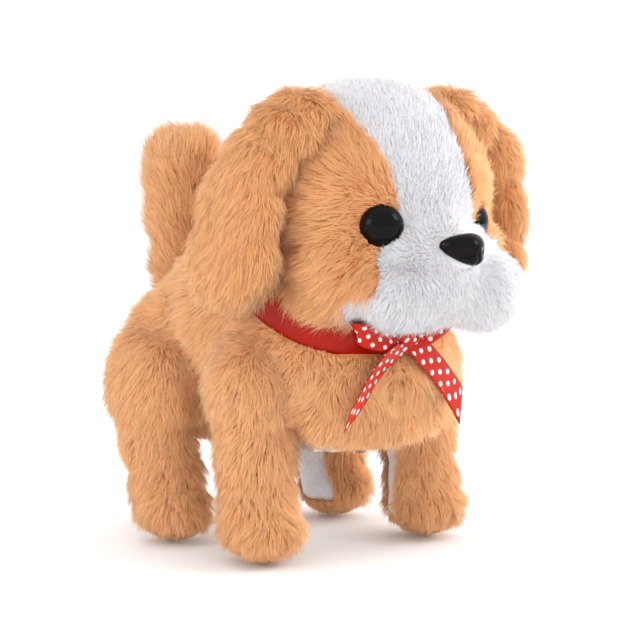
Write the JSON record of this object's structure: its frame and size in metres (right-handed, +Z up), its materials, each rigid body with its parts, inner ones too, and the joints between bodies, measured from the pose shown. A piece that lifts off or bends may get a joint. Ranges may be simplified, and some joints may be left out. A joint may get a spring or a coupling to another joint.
{
  "type": "interactive plush pet",
  "caption": "Walking, barking plush puppy with a motor gearbox, swinging legs, nodding head, wagging tail, floppy ears, ribbon collar and spotted bow.",
  "frame": {"origin": "on the floor, at the middle of the toy's footprint box", "axes": "+Z up, nose towards -Y, the puppy's left side at +X"},
  "size_m": [0.132, 0.1761, 0.168],
  "materials": {
    "orange_plush": "long soft pile plush",
    "white_plush": "long soft pile plush",
    "stuffing": "loose fibre fill",
    "lining": "short knitted pile",
    "red_ribbon": "satin ribbon",
    "dotted_ribbon": "satin ribbon with printed white dots",
    "black_gloss": "polished",
    "shell_plastic": "fine moulded texture",
    "gear_plastic": "moulded, natural",
    "dark_plastic": "moulded",
    "steel": "drawn",
    "cell_jacket": "printed jacket",
    "contact_metal": "nickel plated",
    "board": "solder mask",
    "bronze": "sintered"
  },
  "bodies": {
    "torso": {"torso_plush": "orange_plush", "torso_stuffing": "stuffing", "chassis_lower": "shell_plastic", "chassis_upper": "shell_plastic", "shell_screws": "steel", "batteries": "cell_jacket", "battery_contacts": "contact_metal", "battery_springs": "contact_metal", "gearbox_frame": "gear_plastic", "motor": "steel", "gear_pins": "steel", "crank_bushes": "bronze", "sound_board": "board", "speaker": "dark_plastic", "switch_body": "dark_plastic", "neck_pin": "steel", "neck_ribbon": "red_ribbon", "bow": "dotted_ribbon", "bow_tails": "dotted_ribbon"},
    "door": {"battery_door": "shell_plastic", "battery_door_screw": "steel"},
    "knob": {"switch_knob": "dark_plastic"},
    "motor_rotor": {"motor_shaft": "steel", "motor_pinion": "bronze"},
    "first": {"first_gear": "gear_plastic"},
    "second": {"second_gear": "gear_plastic"},
    "crank": {"crankshaft": "steel", "output_gear": "gear_plastic", "cam_drum": "gear_plastic", "crank_left": "gear_plastic", "crank_right": "gear_plastic"},
    "rod_left": {"tie_rod_left": "gear_plastic"},
    "rod_right": {"tie_rod_right": "gear_plastic"},
    "tail": {"tail_shaft": "steel", "tail_core": "gear_plastic", "tail_plush": "orange_plush"},
    "head": {"neck_lever": "gear_plastic", "head_frame": "shell_plastic", "head_stuffing": "stuffing", "head_plush": "orange_plush", "blaze_panel": "white_plush", "muzzle_plush": "white_plush", "eye_left": "black_gloss", "eye_right": "black_gloss", "nose": "black_gloss", "face_washers": "gear_plastic"},
    "ear_left_flap": {"ear_left": "orange_plush"},
    "ear_right_flap": {"ear_right": "orange_plush"},
    "leg_fl": {"leg_lever_fl": "gear_plastic", "leg_plush_fl": "orange_plush", "leg_lining_fl": "lining"},
    "leg_fr": {"leg_lever_fr": "gear_plastic", "leg_plush_fr": "orange_plush", "leg_lining_fr": "lining"},
    "leg_rl": {"leg_lever_rl": "gear_plastic", "leg_plush_rl": "orange_plush", "leg_lining_rl": "lining"},
    "leg_rr": {"leg_lever_rr": "gear_plastic", "leg_plush_rr": "orange_plush", "leg_lining_rr": "lining"}
  },
  "joints": [
    {"name": "crank_spin", "type": "hinge", "parent": "torso", "child": "crank", "pos_m": [0, 0.012, 0.064], "axis": [1, 0, 0], "continuous": true},
    {"name": "second_spin", "type": "hinge", "parent": "torso", "child": "second", "pos_m": [0, 0.02183, 0.07088], "axis": [1, 0, 0], "continuous": true},
    {"name": "first_spin", "type": "hinge", "parent": "torso", "child": "first", "pos_m": [0, 0.03342, 0.07399], "axis": [1, 0, 0], "continuous": true},
    {"name": "motor_spin", "type": "hinge", "parent": "torso", "child": "motor_rotor", "pos_m": [0, 0.02423, 0.0817], "axis": [1, 0, 0], "continuous": true},
    {"name": "leg_rr_swing", "type": "hinge", "parent": "torso", "child": "leg_rr", "pos_m": [-0.033, 0.04, 0.064], "axis": [1, 0, 0], "range_deg": [-12, 12]},
    {"name": "leg_fr_swing", "type": "hinge", "parent": "torso", "child": "leg_fr", "pos_m": [-0.033, -0.015, 0.064], "axis": [1, 0, 0], "range_deg": [-12, 12]},
    {"name": "leg_rl_swing", "type": "hinge", "parent": "torso", "child": "leg_rl", "pos_m": [0.033, 0.04, 0.064], "axis": [1, 0, 0], "range_deg": [-12, 12]},
    {"name": "leg_fl_swing", "type": "hinge", "parent": "torso", "child": "leg_fl", "pos_m": [0.033, -0.015, 0.064], "axis": [1, 0, 0], "range_deg": [-12, 12]},
    {"name": "rod_right_pivot", "type": "hinge", "parent": "leg_rr", "child": "rod_right", "pos_m": [-0.0279, 0.04, 0.073], "axis": [1, 0, 0], "range_deg": [-12, 12]},
    {"name": "rod_left_pivot", "type": "hinge", "parent": "leg_rl", "child": "rod_left", "pos_m": [0.0279, 0.04, 0.073], "axis": [1, 0, 0], "range_deg": [-12, 12]},
    {"name": "tail_wag", "type": "hinge", "parent": "torso", "child": "tail", "pos_m": [0, 0.03, 0.0912], "axis": [0, 1, 0], "range_deg": [-12, 12]},
    {"name": "head_nod", "type": "hinge", "parent": "torso", "child": "head", "pos_m": [0, -0.022, 0.078], "axis": [-1, 0, 0], "range_deg": [0, 8]},
    {"name": "ear_left_lift", "type": "hinge", "parent": "head", "child": "ear_left_flap", "pos_m": [0.0405, -0.03, 0.166], "axis": [0, -1, 0], "range_deg": [0, 40]},
    {"name": "ear_right_lift", "type": "hinge", "parent": "head", "child": "ear_right_flap", "pos_m": [-0.0405, -0.03, 0.166], "axis": [0, 1, 0], "range_deg": [0, 40]},
    {"name": "switch_slide", "type": "slide", "parent": "torso", "child": "knob", "axis": [1, 0, 0], "range_m": [0, 0.003]},
    {"name": "door_lift", "type": "slide", "parent": "torso", "child": "door", "axis": [0, 0, -1], "range_m": [0, 0.03]}
  ],
  "couplings": [
    {"joint": "second_spin", "follows": "crank_spin", "ratio": -3},
    {"joint": "first_spin", "follows": "crank_spin", "ratio": 9},
    {"joint": "motor_spin", "follows": "crank_spin", "ratio": -27},
    {"joint": "leg_fr_swing", "follows": "leg_rr_swing", "ratio": 1},
    {"joint": "leg_rl_swing", "follows": "leg_rr_swing", "ratio": -1},
    {"joint": "leg_fl_swing", "follows": "leg_rr_swing", "ratio": -1},
    {"joint": "rod_right_pivot", "follows": "leg_rr_swing", "ratio": -1},
    {"joint": "rod_left_pivot", "follows": "leg_rr_swing", "ratio": 1}
  ]
}
